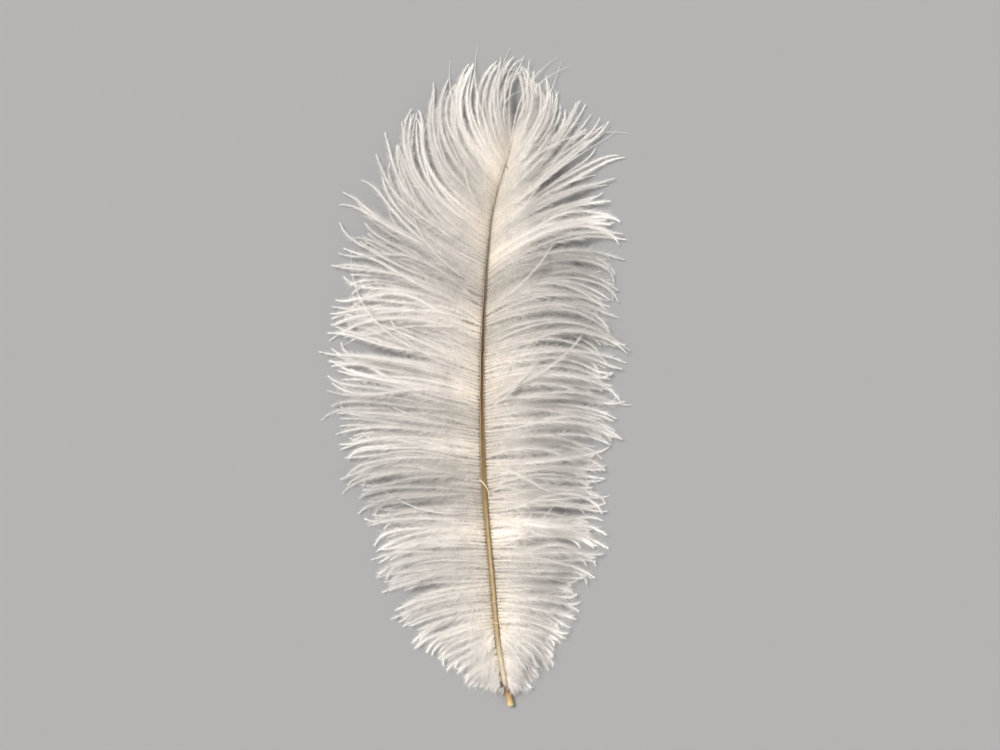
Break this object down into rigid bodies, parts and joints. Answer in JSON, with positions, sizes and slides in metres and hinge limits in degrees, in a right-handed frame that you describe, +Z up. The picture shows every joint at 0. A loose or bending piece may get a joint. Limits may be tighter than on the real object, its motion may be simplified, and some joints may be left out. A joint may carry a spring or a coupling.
{
  "type": "ostrich feather",
  "caption": "Loose white ostrich plume lying flat: a curved tan shaft with a cut quill, and a soft fringed vane on each side that narrows to the quill.",
  "frame": {"origin": "on the surface the feather lies on, under the middle of its box", "axes": "+Y along the feather from the quill to the tip, +Z up from the surface, +X to the right seen from above with the quill towards the viewer"},
  "size_m": [0.136, 0.2983, 0.0199],
  "materials": {
    "horn": "satin",
    "down": "matte"
  },
  "bodies": {
    "root": {"shaft": "horn", "left_vane": "down", "right_vane": "down"}
  },
  "joints": []
}
